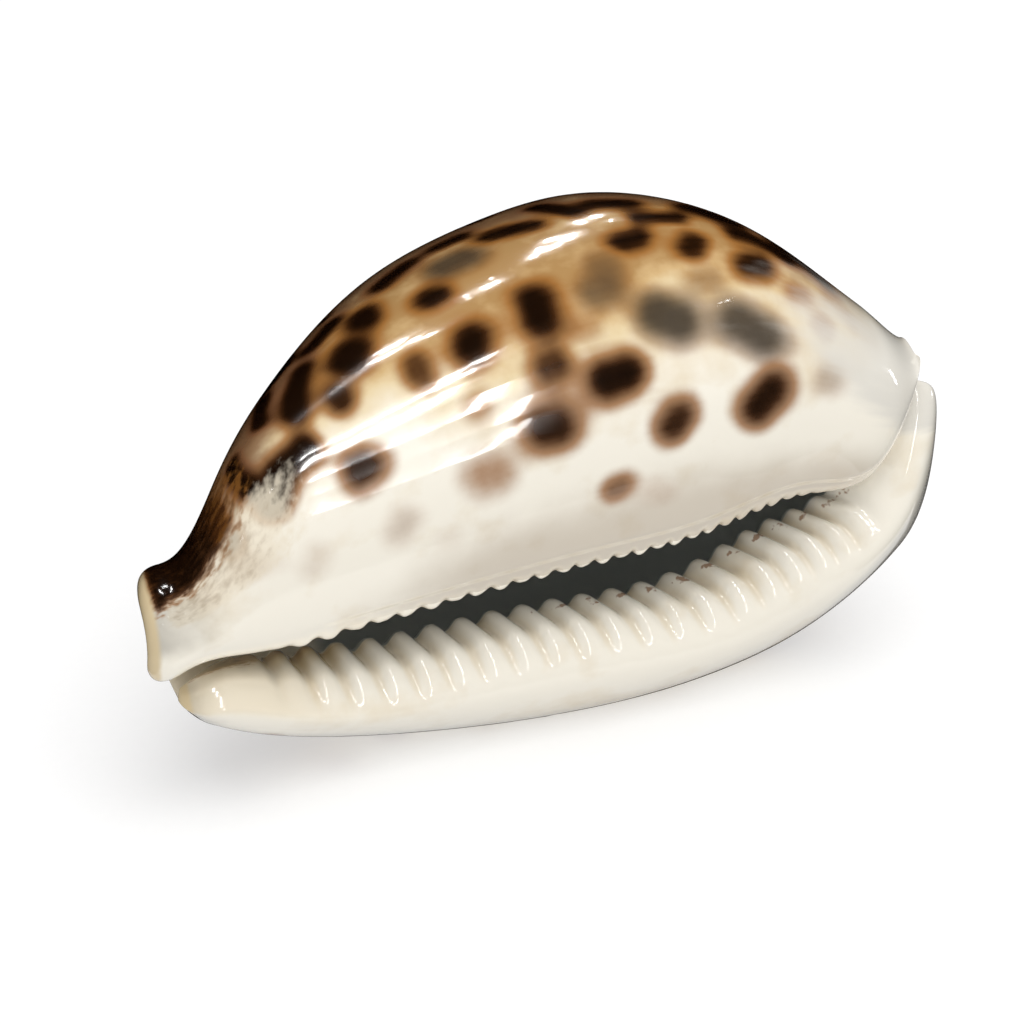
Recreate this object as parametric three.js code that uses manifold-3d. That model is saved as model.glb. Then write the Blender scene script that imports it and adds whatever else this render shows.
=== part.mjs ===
// A tiger cowrie shell: one grown piece, hollow, with a long toothed slot along its base.
// Millimetres, +Z up. The shell is modelled with its base plane upright:
//   X runs from the anterior spout (-X) to the posterior end (+X)
//   Y runs from the base, where the slot is (-Y), to the crown of the back (+Y)
//   Z runs from the outer lip (-Z) to the columellar side (+Z)
// It is then turned a little, until its weight is over the small flat on its outer lip's margin.
// The surface is a net of closed B-spline sections, one across the shell at each station of its
// length. A section's control points go round the outside from the outer lip over the back to the
// columellar lip, then round the inside the other way, so wall and hollow are one closed skin.
import * as THREE from "three";
import { ParametricGeometry } from "three/addons/geometries/ParametricGeometry.js";
import { mergeVertices } from "three/addons/utils/BufferGeometryUtils.js";
import Module from "manifold-3d";

// Driving dimensions
const LENGTH = 90;              // spout to posterior end
const BACK_WALL = 2.0;          // wall over the crown
const MARGIN_WALL = 5.2;        // wall at the thickened margins
const BASE_WALL = 6.2;          // wall of the base beside the slot
const END_MARGIN_WALL = 1.8;    // margins and base at the two ends
const END_BASE_WALL = 2.0;
const FLAT_DEPTH = 1.0;         // how much of the lip's margin is worn to the flat it rests on
const BACK_RAISED = 10;         // degrees the back is turned up, about X, for the shell to balance
const SPOUT_LOWERED = 4;        // degrees the spout is tipped down, about Y
const TOOTH_HEIGHT = 1.7;       // from valley to crest of the outer lip's ridges
const TOOTH_SPACING = 3.75;     // middle of the lip; closer towards the posterior end
const VALLEY_SHARPNESS = 1.5;   // more than 1 makes the ridges broader than the valleys
const FIRST_TOOTH = 9.2;        // distance of the first tooth from the spout
const CROWDING_START = 62;      // from here to the posterior end the teeth crowd together
const CROWDING = 0.0033;        // extra teeth per square millimetre past that

// Profiles along the length, as shares of it: half widths on the outer lip's side and on the
// columellar side, height of the back, place and width of the slot, and lift of the base.
const STATION = [0, 0.05, 0.12, 0.22, 0.38, 0.55, 0.70, 0.83, 0.93, 1];
const LIP_HALF_WIDTH = [8, 11, 15, 19.5, 24.5, 27, 26.5, 22, 14.5, 10.5];
const COLUMELLA_HALF_WIDTH = [8.5, 8.5, 16.5, 22, 26, 28.5, 28.5, 25.5, 17.8, 12];
const BACK_HEIGHT = [14.6, 14.6, 19, 28.5, 40, 44.5, 44, 34, 24, 15.5];
const SLOT_PLACE = [-3.5, -2, -3.5, -5, -5, -5.2, -5.4, -3.3, -0.4, 9.3];
const SLOT_WIDTH = [2, 3, 4, 5.5, 6.5, 7.5, 8, 5.6, 1.6, 0.6];
const BASE_LIFT = [1, 0.5, 0.5, 0.5, 0.3, 0, 0.2, 0.8, 2, 5.5];

// Section layout
const BACK_ANGLES = [185, 148, 113, 78, 43, 8];   // control points of the domed back, in degrees
const BACK_BULGE = 1.066;       // control points stand outside the curve they draw
const MARGIN_LEVEL = 0.30;      // height of the widest place, as a share of the section's height
const END_SCALE = 0.38;         // lips at the two ends, against their size in the middle
const END_REACH = 0.22;         // share of the length over which the lips grow to full size
const CONTROL_COUNT = 18;       // control points on one side of the skin
const LIP_FOLD = [0.15, 0.27, 0.40, 0.55, 0.72, 0.88];         // inside of the outer lip, as
const COLUMELLA_FOLD = [0.88, 0.55, 0.32, 0.22, 0.16, 0.10];   // shares of slot edge to inner wall
// The rounded rims where outside and inside meet: length and where the rim lies in the wall
const SPOUT_RIM = { share: 0.03, place: 0.25 };
const POSTERIOR_RIM = { share: 0.06, place: 0.5 };
// The hollow narrows to a round throat towards each end: its radius, and how far it gets there
const THROAT_RADIUS = 2.4;
const SPOUT_THROAT = { from: 0.12, amount: 0.25 };
const POSTERIOR_THROAT = { from: 0.82, amount: 0.8 };
// How far each rim lies back from the full length, at control points RIM_AT
const RIM_AT = [0, 3, 6, 9, 11, 14, 17];
const SPOUT_SETBACK = [3.5, 3.0, 3.5, 2.6, 0.6, 0, 1.0];
const POSTERIOR_SETBACK = [6.0, 1.2, 0, 3.6, 3.6, 3.3, 4.0];
// Direction in which a valley between teeth pushes the first control points of the outer lip,
// outside and then inside: across, up
const TOOTH_PUSH = [[0.95, 0], [0.85, -0.15], [0.4, -0.3]];
const TOOTH_PUSH_INSIDE = [[0.8, 0], [0.4, 0]];

// Facets
const STEPS_PER_TOOTH = 4;
const STEPS_AROUND = 44;        // even, and half of them are on the outside
const LIP_CROWDING = 0.35;      // closer facets at the lips than over the back
const SPOUT_STEPS = [0, 0.002, 0.007, 0.016, 0.03, 0.047, 0.066, 0.085];
const POSTERIOR_STEPS = [0.945, 0.96, 0.974, 0.986, 0.995, 1];

const clamp01 = (x) => Math.min(Math.max(x, 0), 1);
const smooth = (x) => clamp01(x) ** 2 * (3 - 2 * clamp01(x));

// Natural cubic spline through (xs, ys), returned as a function of x.
function naturalSpline(xs, ys) {
  const n = xs.length;
  const bend = new Array(n).fill(0);
  const sweep = new Array(n).fill(0);
  for (let i = 1; i < n - 1; i += 1) {
    const ratio = (xs[i] - xs[i - 1]) / (xs[i + 1] - xs[i - 1]);
    const pivot = ratio * bend[i - 1] + 2;
    const turn = (ys[i + 1] - ys[i]) / (xs[i + 1] - xs[i]) - (ys[i] - ys[i - 1]) / (xs[i] - xs[i - 1]);
    bend[i] = (ratio - 1) / pivot;
    sweep[i] = (6 * turn / (xs[i + 1] - xs[i - 1]) - ratio * sweep[i - 1]) / pivot;
  }
  for (let i = n - 2; i >= 0; i -= 1) bend[i] = bend[i] * bend[i + 1] + sweep[i];
  return (x) => {
    let i = 0;
    while (i < n - 2 && x > xs[i + 1]) i += 1;
    const h = xs[i + 1] - xs[i];
    const a = (xs[i + 1] - x) / h;
    const b = 1 - a;
    return a * ys[i] + b * ys[i + 1] + ((a ** 3 - a) * bend[i] + (b ** 3 - b) * bend[i + 1]) * h * h / 6;
  };
}

// Straight lines through (xs, ys).
function linear(xs, ys, x) {
  let i = 0;
  while (i < xs.length - 2 && x > xs[i + 1]) i += 1;
  return THREE.MathUtils.mapLinear(x, xs[i], xs[i + 1], ys[i], ys[i + 1]);
}

const profile = {
  lip: naturalSpline(STATION, LIP_HALF_WIDTH),
  columella: naturalSpline(STATION, COLUMELLA_HALF_WIDTH),
  height: naturalSpline(STATION, BACK_HEIGHT),
  slot: naturalSpline(STATION, SLOT_PLACE),
  gap: naturalSpline(STATION, SLOT_WIDTH),
  lift: naturalSpline(STATION, BASE_LIFT),
};

// Number of teeth between the first one and the station, whole at each crest.
const toothPhase = (t) =>
  (LENGTH * t - FIRST_TOOTH) / TOOTH_SPACING + CROWDING * Math.max(0, LENGTH * t - CROWDING_START) ** 2;

// Depth of the valley between two of the outer lip's ridges at a station, nothing at a crest.
function valleyDepth(t) {
  const fade = smooth((t - 0.07) / 0.10) * smooth((0.95 - t) / 0.10);
  return TOOTH_HEIGHT * fade * (0.5 - 0.5 * Math.cos(2 * Math.PI * toothPhase(t))) ** VALLEY_SHARPNESS;
}

// Control points of the section at share t of the length, as [across, up] pairs outside and inside.
function section(t) {
  const lipWidth = profile.lip(t);
  const columellaWidth = profile.columella(t);
  const top = profile.height(t);
  const base = profile.lift(t);
  const lipEdge = profile.slot(t) - profile.gap(t) / 2;
  const columellaEdge = profile.slot(t) + profile.gap(t) / 2;
  const grown = Math.sin(clamp01(Math.min(t, 1 - t) / END_REACH) * Math.PI / 2);
  const q = END_SCALE + (1 - END_SCALE) * grown;
  const marginWall = END_MARGIN_WALL + (MARGIN_WALL - END_MARGIN_WALL) * grown;
  const baseWall = END_BASE_WALL + (BASE_WALL - END_BASE_WALL) * grown;
  const waist = base + MARGIN_LEVEL * (top - base);
  const low = base + 0.07 * (top - base);
  const lipFold = LIP_FOLD.map((share) => lipEdge - share * (lipEdge + lipWidth - marginWall));
  const columellaFold = COLUMELLA_FOLD.map(
    (share) => columellaEdge + share * (columellaWidth - marginWall - columellaEdge));
  const outer = [];
  const inner = [];
  const add = (out, ins) => {
    outer.push(out);
    inner.push(ins);
  };
  add([lipEdge - 0.3 * q, base + 7.6 * q], [lipFold[0], base + 9.0 * q]);
  add([lipEdge, base + 5.0 * q], [lipFold[1], base + 8.8 * q]);
  add([lipEdge + 0.2 * q, base + 2.2 * q], [lipFold[2], base + 8.1 * q]);
  add([lipEdge - 3.0 * q, base - 0.2 * q], [lipFold[3], base + 7.5 * q]);
  add([lipEdge - 0.355 * (lipWidth + lipEdge), base - 0.7], [lipFold[4], base + baseWall + 1.6 * q]);
  add([-0.86 * lipWidth, low], [lipFold[5], low + 0.95 * baseWall]);
  for (const degrees of BACK_ANGLES) {
    const c = Math.cos(THREE.MathUtils.degToRad(degrees));
    const s = Math.sin(THREE.MathUtils.degToRad(degrees));
    const width = c < 0 ? lipWidth : columellaWidth;
    const wall = BACK_WALL + (marginWall - BACK_WALL) * Math.abs(c) ** 3;
    const innerRise = 0.8 * (1 - Math.abs(s)) + (top - BACK_WALL - waist) * BACK_BULGE * s;
    add([width * BACK_BULGE * c, waist + (top - waist) * BACK_BULGE * s],
      [(width - wall) * BACK_BULGE * c, waist + innerRise]);
  }
  const flank = columellaEdge + 0.455 * (columellaWidth - columellaEdge);
  add([0.88 * columellaWidth, low], [columellaFold[0], low + 0.95 * baseWall]);
  add([flank, base - 0.5], [columellaFold[1], base + baseWall]);
  add([columellaEdge + 4.2 * q, base - 0.1], [columellaFold[2], base + baseWall + 1.2 * q]);
  add([columellaEdge + 0.5 * q, base + 1.6 * q], [columellaFold[3], base + 8.4 * q]);
  add([columellaEdge + 0.3 * q, base + 4.6 * q], [columellaFold[4], base + 9.0 * q]);
  add([columellaEdge + 1.2 * q, base + 7.2 * q], [columellaFold[5], base + 8.8 * q]);
  narrowToThroat(inner, t, profile.slot(t), base + 7.6 * q + 0.8 * THROAT_RADIUS);
  const valley = valleyDepth(t);
  for (const [skin, pushes] of [[outer, TOOTH_PUSH], [inner, TOOTH_PUSH_INSIDE]]) {
    pushes.forEach(([across, up], i) => {
      skin[i][0] -= across * valley;
      skin[i][1] -= up * valley;
    });
  }
  return [outer, inner];
}

// Draws the inside towards a round tube over the slot, open below, near the two ends.
function narrowToThroat(inner, t, across, up) {
  const spout = SPOUT_THROAT.amount * smooth((SPOUT_THROAT.from - t) / SPOUT_THROAT.from);
  const posterior = (t - POSTERIOR_THROAT.from) / (1 - POSTERIOR_THROAT.from);
  const share = spout + POSTERIOR_THROAT.amount * smooth(posterior);
  inner.forEach((p, i) => {
    const angle = THREE.MathUtils.degToRad(250 - 320 * i / (CONTROL_COUNT - 1));
    p[0] += share * (across + THROAT_RADIUS * Math.cos(angle) - p[0]);
    p[1] += share * (up + THROAT_RADIUS * Math.sin(angle) - p[1]);
  });
}

// Draws both skins of a section towards the rim line in the wall, as a quarter round does.
function roundRim(outer, inner, share, rim) {
  const open = Math.sqrt(1 - (1 - clamp01(share / rim.share)) ** 2);
  outer.forEach((out, i) => {
    const ins = inner[i];
    for (const k of [0, 1]) {
      const line = ins[k] + rim.place * (out[k] - ins[k]);
      out[k] = line + open * (out[k] - line);
      ins[k] = line + open * (ins[k] - line);
    }
  });
}

// Ring of all control points at share t of the length, as points [along, across, up].
function controlRing(t) {
  const [outer, inner] = section(t);
  roundRim(outer, inner, t, SPOUT_RIM);
  roundRim(outer, inner, 1 - t, POSTERIOR_RIM);
  const along = outer.map((_, i) => {
    const start = linear(RIM_AT, SPOUT_SETBACK, i);
    return start + (LENGTH - linear(RIM_AT, POSTERIOR_SETBACK, i) - start) * t;
  });
  const ring = outer.map((p, i) => [along[i], ...p]);
  inner.forEach((p, i) => ring.splice(CONTROL_COUNT, 0, [along[i], ...p]));
  return ring;
}

// Point of a closed uniform cubic B-spline at parameter v, counted in control points.
function splinePoint(ring, v, target) {
  const n = ring.length;
  const i = Math.floor(v);
  const f = v - i;
  const weights = [(1 - f) ** 3, 3 * f ** 3 - 6 * f ** 2 + 4, -3 * f ** 3 + 3 * f ** 2 + 3 * f + 1, f ** 3];
  const sum = [0, 0, 0];
  weights.forEach((w, k) => {
    const p = ring[(i + k - 1 + n) % n];
    for (const axis of [0, 1, 2]) sum[axis] += w * p[axis] / 6;
  });
  return target.set(sum[0], sum[2], sum[1]);
}

// Stations of the facets: quarter teeth along the lips, closer steps round the two rims.
function facetStations() {
  const stations = [...SPOUT_STEPS];
  let next = Math.ceil(toothPhase(stations.at(-1) + 0.006) * STEPS_PER_TOOTH);
  for (let t = stations.at(-1); t < POSTERIOR_STEPS[0] - 0.006; t += 0.0002) {
    if (toothPhase(t) * STEPS_PER_TOOTH >= next) {
      stations.push(t);
      next += 1;
    }
  }
  return stations.concat(POSTERIOR_STEPS);
}

// Parameter of a facet corner round the section, mirrored so that both skins share the rim.
function around(w, onRim) {
  const half = w > 0.5 ? 2 * (1 - w) : 2 * w;
  const eased = half - LIP_CROWDING * Math.sin(2 * Math.PI * half) / (2 * Math.PI);
  const v = eased * CONTROL_COUNT - 0.5;
  return w > 0.5 && !onRim ? 2 * CONTROL_COUNT - 1 - v : v;
}

function shellGeometry() {
  const stations = facetStations();
  const rings = stations.map(controlRing);
  const place = (w, u, target) => {
    const i = Math.round(u * (stations.length - 1));
    const v = around(Math.round(w * STEPS_AROUND) / STEPS_AROUND, i === 0 || i === stations.length - 1);
    splinePoint(rings[i], (v + 2 * CONTROL_COUNT) % (2 * CONTROL_COUNT), target);
  };
  return new ParametricGeometry(place, STEPS_AROUND, stations.length - 1);
}

const wasm = await Module();
wasm.setup();

// Makes a solid of a closed surface, leaving out facets that have shrunk to a line.
function toSolid(geometry) {
  const bare = geometry.clone();
  bare.deleteAttribute("normal");
  bare.deleteAttribute("uv");
  const merged = mergeVertices(bare, 1e-5);
  const corners = merged.index.array;
  const kept = [];
  for (let i = 0; i < corners.length; i += 3) {
    const [a, b, c] = corners.slice(i, i + 3);
    if (a !== b && b !== c && c !== a) kept.push(a, b, c);
  }
  const vertProperties = merged.attributes.position.array;
  const triVerts = new Uint32Array(kept);
  return new wasm.Manifold(new wasm.Mesh({ numProp: 3, vertProperties, triVerts }));
}

function toGeometry(solid) {
  const mesh = solid.getMesh();
  const geometry = new THREE.BufferGeometry();
  geometry.setAttribute("position", new THREE.BufferAttribute(mesh.vertProperties, 3));
  geometry.setIndex(new THREE.BufferAttribute(mesh.triVerts, 1));
  return geometry;
}

// The shell with the flat it rests on, its box centred over the origin and the flat at height 0.
function restingShell() {
  const whole = shellGeometry();
  whole.rotateX(THREE.MathUtils.degToRad(BACK_RAISED));
  whole.rotateY(THREE.MathUtils.degToRad(-SPOUT_LOWERED));
  whole.computeBoundingBox();
  const below = new THREE.BoxGeometry(LENGTH, LENGTH, LENGTH);
  below.translate(LENGTH / 2, 0, whole.boundingBox.min.z + FLAT_DEPTH - LENGTH / 2);
  const geometry = toGeometry(toSolid(whole).subtract(toSolid(below)));
  geometry.computeBoundingBox();
  const box = geometry.boundingBox;
  const centre = box.getCenter(new THREE.Vector3());
  geometry.translate(-centre.x, -centre.y, -box.min.z);
  geometry.computeVertexNormals();
  return geometry;
}

const porcelain = new THREE.MeshStandardMaterial({ color: 0xe9dcc4, roughness: 0.12, metalness: 0 });
const shell = new THREE.Mesh(restingShell(), porcelain);
shell.name = "shell";

const cowrie = new THREE.Group();
cowrie.name = "cowrie_shell";
cowrie.add(shell);

export default cowrie;
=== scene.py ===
import math

import bpy
import numpy as np
from bpy.props import FloatProperty, FloatVectorProperty, PointerProperty
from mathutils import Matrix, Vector, noise


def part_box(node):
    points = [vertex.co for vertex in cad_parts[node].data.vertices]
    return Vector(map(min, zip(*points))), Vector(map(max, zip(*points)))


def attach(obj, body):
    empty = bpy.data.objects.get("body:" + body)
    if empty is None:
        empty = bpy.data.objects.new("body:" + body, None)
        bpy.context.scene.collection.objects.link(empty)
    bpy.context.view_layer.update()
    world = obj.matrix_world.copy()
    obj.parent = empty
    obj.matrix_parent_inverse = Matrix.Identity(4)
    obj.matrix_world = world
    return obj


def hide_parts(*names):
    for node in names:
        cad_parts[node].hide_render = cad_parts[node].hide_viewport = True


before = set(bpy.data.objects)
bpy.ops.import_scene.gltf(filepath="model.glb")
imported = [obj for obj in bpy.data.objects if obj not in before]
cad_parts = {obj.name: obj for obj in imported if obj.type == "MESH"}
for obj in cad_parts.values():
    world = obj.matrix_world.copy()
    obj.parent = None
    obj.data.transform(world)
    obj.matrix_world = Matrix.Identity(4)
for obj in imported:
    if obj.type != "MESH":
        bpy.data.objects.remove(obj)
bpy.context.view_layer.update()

bl_info = {
    "name": "Tiger Cowrie Shell",
    "version": (1, 0, 0),
    "blender": (4, 5, 0),
    "location": "3D View > Sidebar > Cowrie",
    "description": "A spotted, glossy cowrie shell with a toothed slot, and a studio to show it in",
    "category": "Add Mesh",
}

SHELL_LOW, SHELL_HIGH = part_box("shell")

# ---------------------------------------------
# Shape. Sections across the shell, one at each station of its length, each a closed B-spline.
# Points are (along, across, up): along from the spout (0) to the posterior end, across from the
# outer lip's side (-) to the columellar side (+), up from the base to the crown of the back.
# ---------------------------------------------
LENGTH = 90.0
# Profiles in mm at these shares of the length
STATION = [0, 0.05, 0.12, 0.22, 0.38, 0.55, 0.70, 0.83, 0.93, 1]
LIP_HALF_WIDTH = [8, 11, 15, 19.5, 24.5, 27, 26.5, 22, 14.5, 10.5]
COLUMELLA_HALF_WIDTH = [8.5, 8.5, 16.5, 22, 26, 28.5, 28.5, 25.5, 17.8, 12]
BACK_HEIGHT = [14.6, 14.6, 19, 28.5, 40, 44.5, 44, 34, 24, 15.5]
SLOT_PLACE = [-3.5, -2, -3.5, -5, -5, -5.2, -5.4, -3.3, -0.4, 9.3]
SLOT_WIDTH = [2, 3, 4, 5.5, 6.5, 7.5, 8, 5.6, 1.6, 0.6]
BASE_LIFT = [1, 0.5, 0.5, 0.5, 0.3, 0, 0.2, 0.8, 2, 5.5]

# Walls in mm, in the middle and at both ends
BACK_WALL = 2.0
MARGIN_WALL, END_MARGIN_WALL = 5.2, 1.8
BASE_WALL, END_BASE_WALL = 6.2, 2.0

# Control points of a section, 18 outside and 18 inside, from the lip's edge round by the base and
# the margin, over the back, and down to the columellar edge
CONTROL_COUNT = 18
END_SCALE, END_REACH = 0.38, 0.22         # what is by the slot gets smaller near the ends
# By the slot, in mm: across from its edge and up from the base, and how far up the inside is
LIP_BY_SLOT = [(-0.3, 7.6, 9.0), (0, 5.0, 8.8), (0.2, 2.2, 8.1), (-3.0, -0.2, 7.5)]
COLUMELLA_BY_SLOT = [(0.5, 1.6, 8.4), (0.3, 4.6, 9.0), (1.2, 7.2, 8.8)]
COLUMELLA_SHOULDER = (4.2, -0.1, 1.2)     # its inside is counted from the base's wall
# On the base: across as a share of the base's width from the slot's edge, and up in mm
LIP_BASE, COLUMELLA_BASE = (0.355, -0.7), (0.455, -0.5)
LIP_BASE_INSIDE = 1.6                     # mm above the base's wall
# At the margins: across as shares of the half widths, up as a share of the height, and the
# height of the inside as a share of the base's wall
LIP_MARGIN, COLUMELLA_MARGIN = 0.86, 0.88
MARGIN_UP, MARGIN_FLOOR = 0.07, 0.95
# Over the back: degrees, how far they stand outside the curve that they draw, the height of the
# widest place as a share of the section's, and how much the inside is raised there, in mm
BACK_ANGLES = [185, 148, 113, 78, 43, 8]
BACK_BULGE = 1.066
MARGIN_LEVEL = 0.30
INSIDE_RAISED = 0.8
# Where the inside's points are across, as shares of the room from the slot's edge to the wall
LIP_FOLD = [0.15, 0.27, 0.40, 0.55, 0.72, 0.88]
COLUMELLA_FOLD = [0.88, 0.55, 0.32, 0.22, 0.16, 0.10]

# Round rims at both ends: how much of the length they take, and where in the wall they end
SPOUT_RIM_SHARE, SPOUT_RIM_PLACE = 0.03, 0.25
POSTERIOR_RIM_SHARE, POSTERIOR_RIM_PLACE = 0.06, 0.5
# The hollow narrows to a round throat at both ends: its size in mm, the degrees at which its
# control points start and end, and from where and how far it is reached
THROAT_RADIUS, THROAT_FROM, THROAT_TO = 2.4, 250, -70
THROAT_UP, THROAT_RAISED = 7.6, 0.8       # in mm, and as a share of its radius
SPOUT_THROAT_FROM, SPOUT_THROAT_AMOUNT = 0.12, 0.25
POSTERIOR_THROAT_FROM, POSTERIOR_THROAT_AMOUNT = 0.82, 0.8
# How far both ends are cut back, in mm, at these control points
RIM_AT = [0, 3, 6, 9, 11, 14, 17]
SPOUT_SETBACK = [3.5, 3.0, 3.5, 2.6, 0.6, 0, 1.0]
POSTERIOR_SETBACK = [6.0, 1.2, 0, 3.6, 3.6, 3.3, 4.0]

# Every SPAN gives where something starts, is full, is full for the last time, and has ended
# Ridges of the outer lip, and which way they push its first control points: across, up
TOOTH_SPACING, FIRST_TOOTH = 3.75, 9.2
TOOTH_SPAN = (0.07, 0.17, 0.85, 0.95)     # as shares of the length
CROWDING_START, CROWDING = 62.0, 0.0033
VALLEY_SHARPNESS = 1.5          # more than 1 makes the ridges broader than the valleys
TOOTH_PUSH = [(0.95, 0), (0.85, -0.15), (0.4, -0.3)]
TOOTH_PUSH_INSIDE = [(0.8, 0), (0.4, 0)]
# Fine teeth of the columellar lip, which crowd together from the spout on and fade out
NUB_FIRST, NUB_SPACING, NUB_CROWDING = 16.0, 3.1, 0.00226
NUB_AT, NUB_BREADTH = 14.95, 0.6          # place round the section, in control points
NUB_SHARPNESS = 1.6
NUB_UNEVENNESS, NUB_WAVE = 0.18, 1.7      # how much their height varies, and how often, per mm
NUB_SPAN = (12, 18, 66, 76)               # mm from the spout
# The ledge that carries them steps down, and in a little, and ends inside the slot
LEDGE_PLACES = (14.0, 14.3, 15.5, 17.0)
LEDGE_SPAN = (14, 24, 76, 84)
LEDGE_SHIFT = 0.3                         # across, as a share of its depth
# The hollow between the two canals, painted grey as shade, and the places at the slot's edges where
# that painted shade begins
HOLLOW_SPAN = (18, 25, 77, 84)
HOLLOW_AT_LIP, HOLLOW_AT_COLUMELLA = (0.1, -0.5), (16.9, 17.4)

# How it lies: turned until its weight is over the small flat on the outer lip's margin
BACK_RAISED, SPOUT_LOWERED = 10.0, 4.0

# Mesh steps: places round the outside as (from, to, steps) in control points, then the inside
OUTSIDE_SPANS = [(-0.5, 4.5, 46), (4.5, 13.7, 122), (13.7, 15.6, 38), (15.6, 17.5, 16)]
INSIDE_STEPS = 44
BODY_STEP = 0.27                # mm along the shell
SPOUT_RIM_STEPS, POSTERIOR_RIM_STEPS = 14, 26
OUTSIDE_MAP, INSIDE_MAP = 0.80, 0.82      # where the outside ends on the map, the inside starts
GROWTH_RADIUS = 26.0                      # mm that a turn is counted at, for noise along growth

# ---------------------------------------------
# Markings, in the shell's own measures: millimetres from the spout, and degrees round the back
# from the widest place of the columellar side (0) over the crown (90) to the outer lip's (180).
# ---------------------------------------------
# (along, turn, to along, to turn, radius in mm, strength, blur)
BROWN_SPOTS = [
    (9.5, -10, 9.5, 12, 1.5, 0.95, 0.3), (12.5, -3, 12.3, 14, 1.4, 1.0, 0.2),
    (14.0, -12, 14.3, -11, 1.8, 1.0, 0.3), (15.5, -8, 18.4, -6, 1.9, 1.0, 0.4),
    (19.0, 5, 22.0, 19, 1.9, 1.0, 0.3), (16.0, 15, 17.5, 26, 1.6, 1.0, 0.2),
    (26.0, 8, 26.8, 11, 2.5, 1.0, 0.3), (23.3, 1, 23.5, 0, 1.7, 0.9, 0.5),
    (29.3, 18, 29.8, 20, 2.2, 1.0, 0.3), (24.5, 27, 27.0, 31, 1.9, 1.0, 0.2),
    (36.0, 11, 36.4, 11, 2.2, 1.0, 0.4), (37.3, -8, 38.0, -6, 2.2, 1.0, 0.5),
    (31.4, -7, 31.8, -6, 1.8, 0.8, 0.5), (44.6, -8, 45.2, -4, 2.4, 1.0, 0.6),
    (43.6, -19, 44.6, -19, 1.8, 0.85, 0.6), (49.2, -25, 51.6, -24.5, 2.2, 1.0, 0.5),
    (42.6, -31, 43.6, -31, 2.5, 0.92, 0.6), (35.4, -35, 36.4, -35, 2.4, 0.45, 0.9),
    (23.2, -21, 23.8, -20, 2.1, 0.92, 0.6), (55.7, -38, 56.4, -37, 2.0, 0.88, 0.7),
    (65.4, -35, 66.6, -32, 2.4, 0.95, 0.6), (36.0, -21, 36.4, -20, 1.6, 0.45, 0.7),
    (49.2, -52, 49.6, -50, 1.6, 0.66, 0.7), (31.0, -50, 31.3, -50, 1.8, 0.16, 1.0),
    (53.0, -56, 54.5, -59, 1.8, 0.22, 1.0), (56.8, 5, 58.2, 5.5, 2.0, 1.0, 0.4),
    (62.8, 2, 63.4, 2.5, 1.6, 0.95, 0.5), (68.0, -2, 69.0, -3, 2.0, 0.95, 0.5),
    (45.5, 25, 49.5, 22, 1.9, 1.0, 0.3), (52.0, 31, 54.5, 21, 1.6, 1.0, 0.4),
    (33.5, 30, 37.0, 31, 2.0, 1.0, 0.3), (41.0, 31, 43.0, 33, 1.9, 1.0, 0.3),
    (60.0, 14, 63.5, 12, 1.5, 1.0, 0.4), (68.5, 8, 73.0, 4, 1.5, 1.0, 0.4),
    (76.0, -4, 77.8, -7, 1.5, 0.35, 1.0), (73.6, -14, 74.2, -15, 1.1, 0.50, 0.8),
    (71.8, -8, 72.6, -8, 1.1, 0.55, 0.8), (73.0, 12, 77.0, 5, 1.8, 0.9, 0.5),
    (48.4, -13, 49.0, -13, 1.5, 0.40, 0.9), (66.0, 20, 69.0, 14, 2.0, 1.0, 0.4),
    (57.0, 24, 60.0, 22, 2.0, 1.0, 0.4), (19.5, 33, 22.0, 36, 2.2, 1.0, 0.2),
]
GREY_SPOTS = [
    (39.2, 19, 41.3, 18, 2.6, 0.9, 0.5), (56.6, -15.5, 58.2, -15.5, 2.4, 1.0, 0.5),
    (64.6, -18, 66.8, -20, 2.2, 0.95, 0.6), (52.8, 1.5, 53.4, 1.5, 1.8, 0.60, 0.7),
    (51.2, -6, 52.4, -5, 2.0, 0.75, 0.7), (62.0, -8, 63.0, -7, 1.7, 0.50, 0.8),
    (73.3, -28, 74.0, -27, 1.8, 0.45, 1.0), (26.5, -41, 27.0, -40, 1.8, 0.35, 1.0),
    (61.8, -17, 62.4, -17, 1.6, 0.30, 0.9), (68.0, -21, 69.5, -22, 1.6, 0.30, 0.9),
    (9.8, -20, 10.2, -19, 1.4, 0.40, 0.9), (6.2, -18, 6.6, -17, 1.5, 0.30, 0.9),
    (12.4, -27, 12.8, -27, 1.3, 0.22, 1.0), (17.0, -36, 17.6, -35, 1.8, 0.25, 1.0),
    (78.5, -8, 80.0, -10, 1.5, 0.30, 0.9),
]
# Scattered spots: where they may be, in degrees and in mm, and their radii and the gaps in mm
SCATTER_SEED, SCATTER_TRIES = 11, 2600
SCATTER_TURN, SCATTER_ALONG = (36, 192), (9, 82)
SCATTER_RADIUS, SCATTER_GAP = (1.2, 2.2), 1.5
# They fade towards the margins: between which degrees, and how strong and blurred they are there
SCATTER_FADE = (-26, 8)
MARGIN_STRENGTH, MARGIN_BLUR, BACK_BLUR = 0.35, 0.9, 0.3
WARP_SIZE, WARP_AMOUNT = 5.0, 0.55        # mm, so that the spots aren't quite round
WARP_SEED = 5
# Where a spot is full and where it has faded out, in its radii, and what full blur adds to that
SPOT_FULL, SPOT_FADED = (0.40, -0.35), (1.75, 0.55)
BACK_PLACES = (5, 13.9)                   # places round the outside that take spots
DEGREES_PER_MM = 3                        # weighs degrees against mm when a spot is placed

# Where the coloured back ends towards the base, in degrees at these distances from the spout
EDGE_AT = [0, 8, 15, 25, 40, 55, 68, 78, 86, 90]
BACK_EDGE = [-14, -20, -24, -30, -38, -42, -38, -30, -10, 0]
BARK_EDGE = [-14, -15, -9, 8, 22, 14, 2, 2, 14, 30]
BACK_BLEND, BARK_BLEND = 44, 22           # degrees over which they come in
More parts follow.
